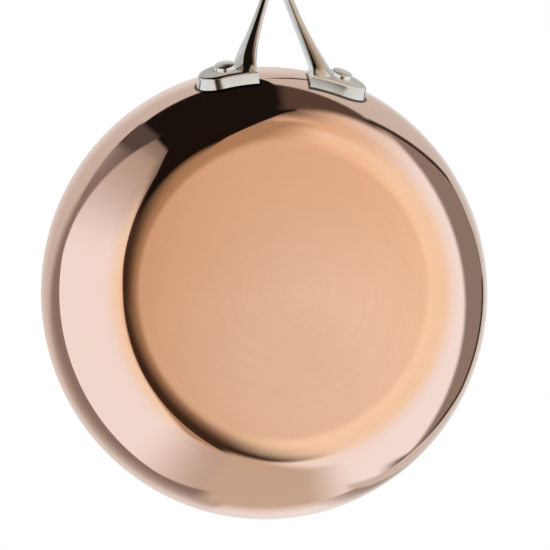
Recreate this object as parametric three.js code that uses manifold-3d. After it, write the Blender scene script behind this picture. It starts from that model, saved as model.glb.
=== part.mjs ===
// Riveted frying pan of bonded copper, aluminium and steel, with a forked cast handle.
// Millimetres, +Z up. The origin is the centre of the flat underside, and the handle points along +X.
import * as THREE from 'three';
import { mergeVertices } from 'three/addons/utils/BufferGeometryUtils.js';
import Module from 'manifold-3d';

const wasm = await Module();
wasm.setup();

const { degToRad } = THREE.MathUtils;

// Pan body: the wall's section is a chain of arcs, and a turn is a slope measured from the flat base
const RIM_RADIUS = 100;
const PAN_HEIGHT = 45;
const HEEL_RADIUS = 30;
const HEEL_TURN = degToRad(15);
const CORNER_RADIUS = 14;
const WALL_FOOT_TURN = degToRad(54);
const WALL_HEAD_TURN = degToRad(58);
const CREASE_RADIUS = 3;
const LIP_FOOT_TURN = degToRad(60);
const LIP_HEAD_TURN = degToRad(71);
const LIP_HEIGHT = 15;
const COPPER_THICKNESS = 0.5;
const CORE_THICKNESS = 1.5;
const LINING_THICKNESS = 0.5;

// Rivets
const RIVET_BEARING = degToRad(15);
const RIVET_HEAD_RADIUS = 4.6;
const RIVET_HEAD_HEIGHT = 2.4;
const RIVET_HEAD_CHAMFER = 0.4;
const RIVET_SHANK_RADIUS = 2.6;
const INNER_HEAD_RADIUS = 5.2;
const INNER_HEAD_HEIGHT = 1.8;
const INNER_HEAD_CROWN = 3.2;

// Handle pads
const PAD_THICKNESS = 4.9;
const PAD_WIDTH = 14.8;
const PAD_FOOT_DROP = 4.6;
const PAD_CHAMFER = 0.5;
const PAD_INNER_BEARING = degToRad(7.1);
const PAD_OUTER_BEARING = degToRad(22.4);

// Handle fork and grip, measured along the handle's centre line
const HANDLE_REACH = 187;
const HANDLE_RISE = 66;
const ROOT_SLOPE = degToRad(50);
const TIP_SLOPE = degToRad(5);
const BEND_SHARE = 1 / 3;
const ROOT_BURIAL = 0.9;
const ROOT_DROP = 2.2;
const FORK_LENGTH = 57;
const FORK_GAP = 24.4;
const FORK_GAP_POWER = 1.45;
const CROTCH_GAP = 2.4;
const ARM_WIDTH = 3.8;
const ARM_FLARE = 6.2;
const ARM_FLARE_LENGTH = 25;
const ARM_CHAMFER = 1.3;
const CHAMFER_SHARE = 1 / 3;
const ARM_THICKNESS = 5.6;
const GRIP_WIDTH = 19;
const GRIP_THICKNESS = 5.6;
const GRIP_SWELL_LENGTH = 60;
const EYE_WIDTH = 8;
const EYE_LENGTH = 18;
const EYE_EDGE = 6;

// Finishes
const COPPER_FINISH = { color: 0xd79b78, roughness: 0.12 };
const CORE_FINISH = { color: 0xc4c6c8, roughness: 0.4 };
const LINING_FINISH = { color: 0xc2c3c1, roughness: 0.3 };
const CASTING_FINISH = { color: 0xb9bbb8, roughness: 0.16 };
const RIVET_FINISH = { color: 0xc9cac6, roughness: 0.22 };

// Clearances and fineness
const SEAT_GAP = 0.3;
const LATHE_STEPS = 72;
const HEEL_STEPS = 2;
const CORNER_STEPS = 5;
const WALL_STEPS = 2;
const CREASE_STEPS = 1;
const LIP_STEPS = 3;
const RIVET_STEPS = 24;
const PAD_STEPS = 6;
const PAD_END_STEPS = 6;
const ARM_STEPS = 16;
const GRIP_STEPS = 18;
const GRIP_END_STEPS = 8;
const EYE_STEPS = 8;
const END_SLIVER = 0.12;

// Outward direction, in the radius and height plane, of a surface at a turn
const outwardAt = (turn) => new THREE.Vector2(Math.sin(turn), -Math.cos(turn));

// Height that an arc of radius 1 climbs between two turns
const climb = (from, to) => Math.cos(from) - Math.cos(to);

// Centre of the arc below another one, where the two meet smoothly at a turn
function centreBelow(centre, radius, nextRadius, turn) {
  return centre.clone().addScaledVector(outwardAt(turn), radius - nextRadius);
}

// Places worked out from the driving dimensions
const LIP_RADIUS = LIP_HEIGHT / climb(LIP_FOOT_TURN, LIP_HEAD_TURN);
const WALL_CLIMB = PAN_HEIGHT - LIP_HEIGHT
  - HEEL_RADIUS * climb(0, HEEL_TURN)
  - CORNER_RADIUS * climb(HEEL_TURN, WALL_FOOT_TURN)
  - CREASE_RADIUS * climb(WALL_HEAD_TURN, LIP_FOOT_TURN);
const WALL_RADIUS = WALL_CLIMB / climb(WALL_FOOT_TURN, WALL_HEAD_TURN);
const RIM_POINT = new THREE.Vector2(RIM_RADIUS, PAN_HEIGHT);
const LIP_CENTRE = RIM_POINT.clone().addScaledVector(outwardAt(LIP_HEAD_TURN), -LIP_RADIUS);
const CREASE_CENTRE = centreBelow(LIP_CENTRE, LIP_RADIUS, CREASE_RADIUS, LIP_FOOT_TURN);
const WALL_CENTRE = centreBelow(CREASE_CENTRE, CREASE_RADIUS, WALL_RADIUS, WALL_HEAD_TURN);
const CORNER_CENTRE = centreBelow(WALL_CENTRE, WALL_RADIUS, CORNER_RADIUS, WALL_FOOT_TURN);
const HEEL_CENTRE = centreBelow(CORNER_CENTRE, CORNER_RADIUS, HEEL_RADIUS, HEEL_TURN);
const CORE_DEPTH = COPPER_THICKNESS;
const LINING_DEPTH = CORE_DEPTH + CORE_THICKNESS;
const WALL_THICKNESS = LINING_DEPTH + LINING_THICKNESS;
const PAD_CENTRE = PAD_WIDTH / 2 - PAD_FOOT_DROP;
const PAD_FACE = SEAT_GAP + PAD_THICKNESS;
const SIDES = [-1, 1];

// Turn of the lip under the pads' middle, the direction up the lip there, and the one out of it
const PAD_TURN = LIP_FOOT_TURN + PAD_CENTRE / LIP_RADIUS;
const PAD_ALONG = new THREE.Vector2(Math.cos(PAD_TURN), Math.sin(PAD_TURN));
const PAD_OUT = outwardAt(PAD_TURN);

// Point beside the lip at the pads' middle: along the slant, then out from the copper
function padPoint(along, out) {
  const middle = LIP_CENTRE.clone().addScaledVector(PAD_OUT, LIP_RADIUS);
  return middle.addScaledVector(PAD_ALONG, along).addScaledVector(PAD_OUT, out);
}

// Turn a point of the radius and height plane round the pan's axis to a bearing from the handle
function atBearing(point, bearing) {
  return new THREE.Vector3(point.x * Math.cos(bearing), point.x * Math.sin(bearing), point.y);
}

function arcSteps(from, to, steps) {
  return Array.from({ length: steps + 1 }, (_, i) => from + ((to - from) * i) / steps);
}

// Wall section from the axis to the rim, at a depth below the outer surface
function wallSection(depth) {
  const rimTurn = Math.acos((LIP_CENTRE.y - PAN_HEIGHT) / (LIP_RADIUS - depth));
  const arcs = [
    [HEEL_CENTRE, HEEL_RADIUS, 0, HEEL_TURN, HEEL_STEPS],
    [CORNER_CENTRE, CORNER_RADIUS, HEEL_TURN, WALL_FOOT_TURN, CORNER_STEPS],
    [WALL_CENTRE, WALL_RADIUS, WALL_FOOT_TURN, WALL_HEAD_TURN, WALL_STEPS],
    [CREASE_CENTRE, CREASE_RADIUS, WALL_HEAD_TURN, LIP_FOOT_TURN, CREASE_STEPS],
    [LIP_CENTRE, LIP_RADIUS, LIP_FOOT_TURN, rimTurn, LIP_STEPS],
  ];
  const climbing = arcs.flatMap(([centre, radius, from, to, steps]) => (
    arcSteps(from, to, steps).slice(1).map((turn) => (
      centre.clone().addScaledVector(outwardAt(turn), radius - depth)
    ))
  ));
  return [new THREE.Vector2(0, depth), new THREE.Vector2(HEEL_CENTRE.x, depth), ...climbing];
}

// LatheGeometry turns about +Y, so its result is stood up along +Z
function lathe(points, steps) {
  return new THREE.LatheGeometry(points, steps).rotateX(Math.PI / 2);
}

function toSolid(geometry) {
  const bare = geometry.clone();
  bare.deleteAttribute('normal');
  bare.deleteAttribute('uv');
  const merged = mergeVertices(bare);
  return new wasm.Manifold(new wasm.Mesh({
    numProp: 3,
    vertProperties: new Float32Array(merged.attributes.position.array),
    triVerts: new Uint32Array(merged.index.array),
  }));
}

function toGeometry(solid) {
  const { vertProperties, triVerts } = solid.getMesh();
  const geometry = new THREE.BufferGeometry();
  geometry.setAttribute('position', new THREE.BufferAttribute(vertProperties, 3));
  geometry.setIndex(new THREE.BufferAttribute(triVerts, 1));
  geometry.computeVertexNormals();
  return geometry;
}

// Closed skin over a row of rings that all have the same number of points
function loft(rings) {
  const sides = rings[0].length;
  const last = rings.length - 1;
  const index = [];
  for (let ring = 0; ring < last; ring += 1) {
    for (let side = 0; side < sides; side += 1) {
      const next = (side + 1) % sides;
      const [a, b] = [ring * sides + side, ring * sides + next];
      index.push(a, b, b + sides, a, b + sides, a + sides);
    }
  }
  for (let side = 1; side < sides - 1; side += 1) {
    index.push(0, side + 1, side);
    index.push(last * sides, last * sides + side, last * sides + side + 1);
  }
  const geometry = new THREE.BufferGeometry().setFromPoints(rings.flat());
  return geometry.setIndex(index);
}

function metal(finish) {
  return new THREE.MeshStandardMaterial({ ...finish, metalness: 1 });
}

// Rivet seats: each rivet's frame has its axis along +Z, pointing out of the lip
function rivetFrame(side) {
  const bearing = side * RIVET_BEARING;
  const out = atBearing(PAD_OUT, bearing);
  const frame = new THREE.Object3D();
  frame.position.copy(atBearing(padPoint(0, 0), bearing));
  frame.quaternion.setFromUnitVectors(new THREE.Vector3(0, 0, 1), out);
  frame.updateMatrix();
  return frame;
}

// Cylinder on a rivet's axis, from one height above the copper to another
function rivetCylinder(side, radius, from, to) {
  const length = to - from;
  const cylinder = new THREE.CylinderGeometry(radius, radius, length, RIVET_STEPS).rotateX(Math.PI / 2);
  cylinder.translate(0, 0, from + length / 2);
  return toSolid(cylinder.applyMatrix4(rivetFrame(side).matrix));
}

function drill(solid) {
  const reach = WALL_THICKNESS + PAD_FACE;
  return SIDES.reduce((body, side) => (
    body.subtract(rivetCylinder(side, RIVET_SHANK_RADIUS + SEAT_GAP, -reach, reach))
  ), solid);
}

// Flat seat round each outer head, where the foot of the arm would reach into it
function spotFace(solid) {
  const top = PAD_FACE + HANDLE_RISE;
  return SIDES.reduce((body, side) => (
    body.subtract(rivetCylinder(side, RIVET_HEAD_RADIUS + SEAT_GAP, PAD_FACE, top))
  ), solid);
}

function rivet(name, side) {
  const headFoot = PAD_FACE + SEAT_GAP;
  const headTop = headFoot + RIVET_HEAD_HEIGHT;
  const innerFoot = -WALL_THICKNESS - SEAT_GAP;
  const innerTop = innerFoot - INNER_HEAD_HEIGHT;
  const profile = [
    [0, innerTop],
    [INNER_HEAD_CROWN, innerTop],
    [INNER_HEAD_RADIUS, innerFoot],
    [RIVET_SHANK_RADIUS, innerFoot],
    [RIVET_SHANK_RADIUS, headFoot],
    [RIVET_HEAD_RADIUS, headFoot],
    [RIVET_HEAD_RADIUS, headTop - RIVET_HEAD_CHAMFER],
    [RIVET_HEAD_RADIUS - RIVET_HEAD_CHAMFER, headTop],
    [0, headTop],
  ].map(([radius, height]) => new THREE.Vector2(radius, height));
  const mesh = new THREE.Mesh(lathe(profile, RIVET_STEPS), metal(RIVET_FINISH));
  const frame = rivetFrame(side);
  mesh.name = name;
  mesh.position.copy(frame.position);
  mesh.quaternion.copy(frame.quaternion);
  return mesh;
}

// One bonded layer of the pan between two depths
function layer(name, from, to, finish) {
  const section = [...wallSection(from), ...wallSection(to).reverse()];
  const sheet = toSolid(lathe(section, LATHE_STEPS));
  const mesh = new THREE.Mesh(toGeometry(drill(sheet)), metal(finish));
  mesh.name = name;
  return mesh;
}

// Pad on the lip: straight along the pan's rim, with a half-round outer end
function pad(side) {
  const half = PAD_WIDTH / 2;
  const endSweep = half / padPoint(0, 0).x;
  const endStart = PAD_OUTER_BEARING - endSweep;
  const straight = arcSteps(PAD_INNER_BEARING, endStart, PAD_STEPS).map((bearing) => [bearing, half]);
  const round = arcSteps(0, Math.PI / 2 - END_SLIVER, PAD_END_STEPS).slice(1).map((turn) => (
    [endStart + endSweep * Math.sin(turn), half * Math.cos(turn)]
  ));
  const rings = [...straight, ...round].map(([bearing, reach]) => {
    const chamfer = PAD_CHAMFER * (reach / half);
    const ring = [
      [-reach, SEAT_GAP],
      [reach, SEAT_GAP],
      [reach, PAD_FACE - chamfer],
      [reach - chamfer, PAD_FACE],
      [chamfer - reach, PAD_FACE],
      [-reach, PAD_FACE - chamfer],
    ].map(([along, out]) => atBearing(padPoint(along, out), side * bearing));
    return side > 0 ? ring : ring.reverse();
  });
  return toSolid(loft(rings));
}

// Centre line of the fork and grip, in the plane of symmetry
const ROOT_POINT = atBearing(padPoint(-ROOT_DROP, PAD_FACE - ROOT_BURIAL), PAD_INNER_BEARING);
const CENTRE_LINE = (() => {
  const root = new THREE.Vector3(ROOT_POINT.x, 0, ROOT_POINT.z);
  const tip = new THREE.Vector3(RIM_RADIUS + HANDLE_REACH, 0, ROOT_POINT.z + HANDLE_RISE);
  const pull = HANDLE_REACH * BEND_SHARE;
  const leave = new THREE.Vector3(Math.cos(ROOT_SLOPE), 0, Math.sin(ROOT_SLOPE));
  const arrive = new THREE.Vector3(Math.cos(TIP_SLOPE), 0, Math.sin(TIP_SLOPE));
  return new THREE.CubicBezierCurve3(
    root,
    root.clone().addScaledVector(leave, pull),
    tip.clone().addScaledVector(arrive, -pull),
    tip,
  );
})();
const HANDLE_LENGTH = CENTRE_LINE.getLength();

// Half of the gap between the arms, and the outer half width, at a distance from the root
function halfGap(distance) {
  return (FORK_GAP / 2) * (1 - Math.min(1, distance / FORK_LENGTH) ** FORK_GAP_POWER);
}

function armOuter(distance) {
  return halfGap(distance) + ARM_WIDTH + ARM_FLARE * Math.exp(-((distance / ARM_FLARE_LENGTH) ** 2));
}

// Distance at which the arms have closed to the crotch
const CROTCH_DISTANCE = FORK_LENGTH * (1 - CROTCH_GAP / FORK_GAP) ** (1 / FORK_GAP_POWER);

function gripOuter(distance) {
  const swell = THREE.MathUtils.smoothstep(distance, CROTCH_DISTANCE, CROTCH_DISTANCE + GRIP_SWELL_LENGTH);
  return THREE.MathUtils.lerp(armOuter(CROTCH_DISTANCE), GRIP_WIDTH / 2, swell);
}

function thicknessAt(distance) {
  const share = THREE.MathUtils.smoothstep(distance, 0, CROTCH_DISTANCE + GRIP_SWELL_LENGTH);
  return THREE.MathUtils.lerp(ARM_THICKNESS, GRIP_THICKNESS, share);
}

// Chamfered bar section from one side to the other, square to the centre line
function barRing(distance, from, to) {
  const share = Math.min(1, distance / HANDLE_LENGTH);
  const point = CENTRE_LINE.getPointAt(share);
  const tangent = CENTRE_LINE.getTangentAt(share);
  const up = new THREE.Vector3(-tangent.z, 0, tangent.x);
  const half = thicknessAt(distance) / 2;
  const chamfer = Math.min(ARM_CHAMFER, (to - from) * CHAMFER_SHARE);
  return [
    [from + chamfer, -half],
    [to - chamfer, -half],
    [to, chamfer - half],
    [to, half - chamfer],
    [to - chamfer, half],
    [from + chamfer, half],
    [from, half - chamfer],
    [from, chamfer - half],
  ].map(([across, height]) => (
    point.clone().addScaledVector(up, height).add(new THREE.Vector3(0, across, 0))
  ));
}

function arm(side) {
  const rings = arcSteps(0, FORK_LENGTH, ARM_STEPS).map((distance) => {
    const [inner, outer] = [side * halfGap(distance), side * armOuter(distance)];
    return barRing(distance, Math.min(inner, outer), Math.max(inner, outer));
  });
  return toSolid(loft(rings));
}

function grip() {
  const endStart = HANDLE_LENGTH - GRIP_WIDTH / 2;
  const straight = arcSteps(CROTCH_DISTANCE, endStart, GRIP_STEPS).map((distance) => (
    barRing(distance, -gripOuter(distance), gripOuter(distance))
  ));
  const round = arcSteps(0, Math.PI / 2 - END_SLIVER, GRIP_END_STEPS).slice(1).map((turn) => {
    const distance = endStart + (GRIP_WIDTH / 2) * Math.sin(turn);
    const outer = gripOuter(endStart) * Math.cos(turn);
    return barRing(distance, -outer, outer);
  });
  return toSolid(loft([...straight, ...round]));
}

// Hanging eye: a round-ended slot through the grip, square to it
function eyeSlot() {
  const radius = EYE_WIDTH / 2;
  const straight = (EYE_LENGTH - EYE_WIDTH) / 2;
  const outline = new THREE.Shape();
  outline.absarc(straight, 0, radius, -Math.PI / 2, Math.PI / 2);
  outline.absarc(-straight, 0, radius, Math.PI / 2, Math.PI + Math.PI / 2);
  outline.closePath();
  const depth = 2 * GRIP_THICKNESS;
  const slot = new THREE.ExtrudeGeometry(outline, { depth, bevelEnabled: false, curveSegments: EYE_STEPS });
  const share = (HANDLE_LENGTH - EYE_EDGE - EYE_LENGTH / 2) / HANDLE_LENGTH;
  const point = CENTRE_LINE.getPointAt(share);
  const tangent = CENTRE_LINE.getTangentAt(share);
  slot.translate(0, 0, -depth / 2).rotateY(-Math.atan2(tangent.z, tangent.x));
  return toSolid(slot.translate(point.x, point.y, point.z));
}

function handle() {
  const pieces = [...SIDES.map(arm), ...SIDES.map(pad), grip()];
  const casting = pieces.reduce((body, piece) => body.add(piece)).subtract(eyeSlot());
  const mesh = new THREE.Mesh(toGeometry(spotFace(drill(casting))), metal(CASTING_FINISH));
  mesh.name = 'handle';
  return mesh;
}

const pan = new THREE.Group();
pan.add(
  layer('copper_outer_shell', 0, CORE_DEPTH, COPPER_FINISH),
  layer('aluminium_core', CORE_DEPTH, LINING_DEPTH, CORE_FINISH),
  layer('steel_lining', LINING_DEPTH, WALL_THICKNESS, LINING_FINISH),
  handle(),
  rivet('rivet_left', -1),
  rivet('rivet_right', 1),
);

export default pan;
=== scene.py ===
import bisect
import logging
import math
from collections.abc import Callable
from dataclasses import dataclass, field
from enum import Enum

import bpy
from mathutils import Matrix, Vector


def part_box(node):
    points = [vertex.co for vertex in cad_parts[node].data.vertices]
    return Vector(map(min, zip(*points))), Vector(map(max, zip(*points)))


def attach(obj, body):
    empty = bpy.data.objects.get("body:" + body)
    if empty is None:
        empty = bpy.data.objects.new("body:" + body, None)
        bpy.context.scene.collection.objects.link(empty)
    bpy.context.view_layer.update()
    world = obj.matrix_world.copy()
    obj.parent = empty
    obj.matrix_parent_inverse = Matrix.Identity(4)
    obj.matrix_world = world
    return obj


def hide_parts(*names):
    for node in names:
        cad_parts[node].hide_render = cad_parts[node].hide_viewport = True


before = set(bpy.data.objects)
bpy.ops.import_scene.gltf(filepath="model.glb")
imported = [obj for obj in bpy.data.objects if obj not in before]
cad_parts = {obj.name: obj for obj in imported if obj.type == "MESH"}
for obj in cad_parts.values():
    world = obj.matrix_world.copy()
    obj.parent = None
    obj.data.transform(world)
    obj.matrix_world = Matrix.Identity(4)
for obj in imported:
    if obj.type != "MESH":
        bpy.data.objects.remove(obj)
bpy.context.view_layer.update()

MM = 0.001
BODY = "root"
ON_AXIS = 1e-9
CORNER_SHARE = 0.45

Colour = tuple[float, float, float, float]
Spot = tuple[float, float, float]
Range = tuple[float, float]
Socket = bpy.types.NodeSocket
Number = float | Socket
Direction = Spot | Socket
Paint = Colour | Socket
Cutter = Callable[[], bpy.types.Mesh]

WHITE: Colour = (1.0, 1.0, 1.0, 1.0)

logging.basicConfig(level=logging.INFO, format="%(name)s: %(message)s")
LOG = logging.getLogger("pan")


class Side(Enum):
    """Side of the handle, by the sign of its bearing."""

    LEFT = -1
    RIGHT = 1


class Ply(Enum):
    """Bonded layer of the pan, by its node's name."""

    COPPER = "copper_outer_shell"
    CORE = "aluminium_core"
    LINING = "steel_lining"


class Tooling(Enum):
    """What other bodies do to a body, by the modifier's own word."""

    JOIN = "UNION"
    CUT = "DIFFERENCE"


def spread(start: float, end: float, steps: int) -> list[float]:
    """Numbers from start to end in equal steps, both ends included."""
    return [start + (end - start) * i / steps for i in range(steps + 1)]


def smooth_share(value: float, start: float, end: float) -> float:
    """Share from 0 at start to 1 at end, eased at both ends."""
    share = min(1.0, max(0.0, (value - start) / (end - start)))
    return share * share * (3.0 - 2.0 * share)


def outward(turn: float) -> Vector:
    """Outward direction, in the radius and height plane, of a surface at a turn from the flat base."""
    return Vector((math.sin(turn), -math.cos(turn)))


def at_bearing(point: Vector, bearing: float) -> Vector:
    """Point of the radius and height plane turned round the pan's axis to a bearing from the handle."""
    return Vector((point.x * math.cos(bearing), point.x * math.sin(bearing), point.y))


def filleted(points: list[Vector], radius: float, steps: int) -> list[Vector]:
    """Closed outline with each corner rounded.

    Args:
        points: Corners of the outline, in order.
        radius: Length taken off each edge at a corner, less where an edge is short.
        steps: Straight steps that make each rounded corner.

    Returns:
        The rounded outline, with steps + 1 points for each corner.
    """
    result: list[Vector] = []
    for i, corner in enumerate(points):
        before, after = points[i - 1] - corner, points[(i + 1) % len(points)] - corner
        reach = min(radius, CORNER_SHARE * before.length, CORNER_SHARE * after.length)
        start = corner + before.normalized() * reach
        end = corner + after.normalized() * reach
        for share in spread(0.0, 1.0, steps):
            result.append(start.lerp(corner, share).lerp(corner.lerp(end, share), share))
    return result


def placed(name: str, data: bpy.types.ID) -> bpy.types.Object:
    """New object of a mesh, lamp or camera, linked into the scene."""
    made = bpy.data.objects.new(name, data)
    bpy.context.scene.collection.objects.link(made)
    return made


class MeshMaker:
    """Turns rings of points into closed meshes and joins or cuts them."""

    @staticmethod
    def loft(name: str, rings: list[list[Vector]]) -> bpy.types.Mesh:
        """Closed skin over a row of rings.

        Args:
            name: Name of the mesh.
            rings: Rings with the same number of points each, in order.

        Returns:
            The mesh, with both ends capped and its faces outward.
        """
        sides = len(rings[0])
        points = [tuple(point) for ring in rings for point in ring]
        faces: list[tuple[int, ...]] = [tuple(reversed(range(sides)))]
        for row in range(len(rings) - 1):
            for side in range(sides):
                a, b = row * sides + side, row * sides + (side + 1) % sides
                faces.append((a, b, b + sides, a + sides))
        faces.append(tuple(range((len(rings) - 1) * sides, len(rings) * sides)))
        return MeshMaker.finish(name, points, faces)

    @staticmethod
    def lathe(name: str, section: list[Vector], steps: int) -> bpy.types.Mesh:
        """Closed body turned about the Z axis.

        Args:
            name: Name of the mesh.
            section: Points of the section from the axis round to the axis, radius and height.
            steps: Steps round the axis.

        Returns:
            The turned mesh.
        """
        points: list[Spot] = []
        rows: list[list[int]] = []
        for spot in section:
            on_axis = spot.x < ON_AXIS
            count = 1 if on_axis else steps
            rows.append([len(points) + (0 if on_axis else i) for i in range(steps)])
            for i in range(count):
                points.append(tuple(at_bearing(spot, 2.0 * math.pi * i / steps)))
        faces: list[tuple[int, ...]] = []
        for low, high in zip(rows, rows[1:]):
            for i in range(steps):
                j = (i + 1) % steps
                corners = dict.fromkeys((low[i], high[i], high[j], low[j]))
                faces.append(tuple(corners))
        return MeshMaker.finish(name, points, faces)

    @staticmethod
    def finish(name: str, points: list[Spot], faces: list[tuple[int, ...]]) -> bpy.types.Mesh:
        """Mesh from points and faces.

        Args:
            name: Name of the mesh.
            points: Its points.
            faces: Its faces, each by the numbers of its points.

        Returns:
            The mesh, with its faces turned outward.
        """
        mesh = bpy.data.meshes.new(name)
        mesh.from_pydata(points, [], faces)
        mesh.validate()
        mesh.calc_loop_triangles()
        volume = 0.0
        for triangle in mesh.loop_triangles:
            a, b, c = (mesh.vertices[corner].co for corner in triangle.vertices)
            volume += a.dot(b.cross(c))
        if volume < 0.0:
            mesh.flip_normals()
        return mesh

    @staticmethod
    def combine(mesh: bpy.types.Mesh, others: list[bpy.types.Mesh], tooling: Tooling) -> bpy.types.Mesh:
        """Body joined with other bodies, or cut by them.

        Args:
            mesh: Body to start from.
            others: Bodies to join or to cut with.
            tooling: Whether they are joined or cut.

        Returns:
            A new mesh under the first one's name.
        """
        name = mesh.name
        body = placed(name + ".work", mesh)
        tools = []
        for i, other in enumerate(others):
            tool = placed(f"{name}.tool{i}", other)
            step = body.modifiers.new(f"step{i}", "BOOLEAN")
            step.operation = tooling.value
            step.solver = "EXACT"
            step.object = tool
            tools.append(tool)
        bpy.context.view_layer.update()
        graph = bpy.context.evaluated_depsgraph_get()
        result = bpy.data.meshes.new_from_object(body.evaluated_get(graph))
        for spent in [body, *tools]:
            bpy.data.objects.remove(spent)
        for spent in [mesh, *others]:
            bpy.data.meshes.remove(spent)
        result.name = name
        return result

    @staticmethod
    def piece(name: str, mesh: bpy.types.Mesh, crease: float) -> bpy.types.Object:
        """Object of a mesh, shaded smooth up to a crease angle and riding on the pan.

        Args:
            name: Name of the piece.
            mesh: Its mesh, in the pan's frame.
            crease: Angle between faces from which an edge stays crisp.

        Returns:
            The linked object.
        """
        mesh.shade_smooth()
        mesh.set_sharp_from_angle(angle=crease)
        piece = placed(name, mesh)
        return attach(piece, BODY)


@dataclass(frozen=True)
class Grain:
    """Fineness and detail of a soft random pattern."""

    scale: float
    detail: float


class NodeSheet:
    """Small helper that adds and links nodes in one node tree."""

    def __init__(self, tree: bpy.types.NodeTree) -> None:
        """Start from an empty tree."""
        self.tree = tree
        tree.nodes.clear()

    def add(self, kind: str, settings: dict[str, str] | None = None, **inputs: object) -> bpy.types.Node:
        """New node with its settings and inputs.

        Args:
            kind: Blender's node type.
            settings: Properties of the node.
            inputs: Values or sockets by input name, or by in0, in1 and so on for its number.

        Returns:
            The node.
        """
        node = self.tree.nodes.new(kind)
        for key, value in (settings or {}).items():
            setattr(node, key, value)
        for key, value in inputs.items():
            numbered = key.startswith("in") and key[2:].isdigit()
            socket = node.inputs[int(key[2:])] if numbered else node.inputs[key.replace("_", " ")]
            if isinstance(value, Socket):
                self.tree.links.new(value, socket)
            else:
                socket.default_value = value
        return node

    def math(self, operation: str, *values: Number) -> Socket:
        """Result of a maths step on numbers or sockets."""
        inputs = {f"in{i}": value for i, value in enumerate(values)}
        return self.add("ShaderNodeMath", {"operation": operation}, **inputs).outputs[0]

    def vector(self, operation: str, *values: Direction) -> bpy.types.NodeOutputs:
        """Outputs of a maths step on vectors."""
        inputs = {f"in{i}": value for i, value in enumerate(values)}
        return self.add("ShaderNodeVectorMath", {"operation": operation}, **inputs).outputs

    def weigh(self, first: Socket, share: float, second: Socket) -> Socket:
        """Sum of two values, the first by its share and the second by the rest."""
        rest = self.math("MULTIPLY", second, 1.0 - share)
        return self.math("ADD", self.math("MULTIPLY", first, share), rest)

    def ease(self, value: Socket, start: float, end: float, low: float = 0.0, high: float = 1.0) -> Socket:
        """Value eased from low at start to high at end.

        Args:
            value: Socket to read.
            start: Value at which the easing starts.
            end: Value at which it is done.
            low: Result before start.
            high: Result after end.

        Returns:
            The eased socket.
        """
        settings = {"interpolation_type": "SMOOTHSTEP"}
        node = self.add("ShaderNodeMapRange", settings, Value=value,
                        From_Min=start, From_Max=end, To_Min=low, To_Max=high)
        return node.outputs[0]

    def blend(self, share: Socket, first: Paint, second: Paint) -> Socket:
        """Colour between two colours by a share."""
        node = self.add("ShaderNodeMix", {"data_type": "RGBA"}, in0=share, in6=first, in7=second)
        return node.outputs[2]

    def place(self) -> Socket:
        """Coordinates of the piece itself."""
        return self.add("ShaderNodeTexCoord").outputs["Object"]

    def rings(self) -> tuple[Socket, Socket, Socket]:
        """Places for turned finishes.

        Returns:
            The piece's own coordinates, the distance from the pan's axis, and coordinates drawn out along
            circles round that axis.
        """
        place = self.place()
        flat = self.vector("MULTIPLY", place, (1.0, 1.0, 0.0))[0]
        radius = self.vector("LENGTH", flat)["Value"]
        around = self.add("ShaderNodeSeparateXYZ", Vector=self.vector("NORMALIZE", flat)[0]).outputs
        height = self.add("ShaderNodeSeparateXYZ", Vector=place).outputs["Z"]
        reach = self.math("MULTIPLY", self.math("ADD", radius, height), 1.0 / MM)
        drawn = self.add("ShaderNodeCombineXYZ", X=reach, Y=around["X"], Z=around["Y"])
        return place, radius, drawn.outputs[0]

    def noise(self, place: Socket, grain: Grain) -> Socket:
        """Soft random value at a place."""
        return self.add("ShaderNodeTexNoise", Vector=place, Scale=grain.scale, Detail=grain.detail).outputs[0]

    def bump(self, height: Socket, depth: float, strength: float) -> Socket:
        """Surface normal shaken by a height."""
        return self.add("ShaderNodeBump", Height=height, Distance=depth, Strength=strength).outputs[0]

    def surface(self, shader: bpy.types.Node) -> None:
        """Make a shader the look of the material's surface."""
        self.add("ShaderNodeOutputMaterial", Surface=shader.outputs[0])


@dataclass(frozen=True)
class Finish:
    """Metal finish of a piece."""

    name: str
    slot: str

    def draw(self, sheet: NodeSheet) -> None:
        """Fill the material's nodes."""
        raise NotImplementedError

    def metal(self, sheet: NodeSheet, anisotropy: float = 0.0, **inputs: object) -> None:
        """Close the material's nodes with bare metal.

        Args:
            sheet: The material's nodes.
            anisotropy: How far marks round the pan's axis draw out the gleam.
            inputs: Colour, roughness and normal of the metal, by input name.
        """
        if anisotropy > 0.0:
            settings = {"direction_type": "RADIAL", "axis": "Z"}
            inputs["Tangent"] = sheet.add("ShaderNodeTangent", settings).outputs[0]
        shader = sheet.add("ShaderNodeBsdfPrincipled", Metallic=1.0, Anisotropic=anisotropy, **inputs)
        sheet.surface(shader)

    def dress(self, piece: bpy.types.Object) -> None:
        """Give a piece a material of this finish.

        Args:
            piece: Piece to dress.
        """
        material = bpy.data.materials.new(self.name)
        material.use_nodes = True
        self.draw(NodeSheet(material.node_tree))
        piece.data.materials.clear()
        piece.data.materials.append(material)


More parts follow.
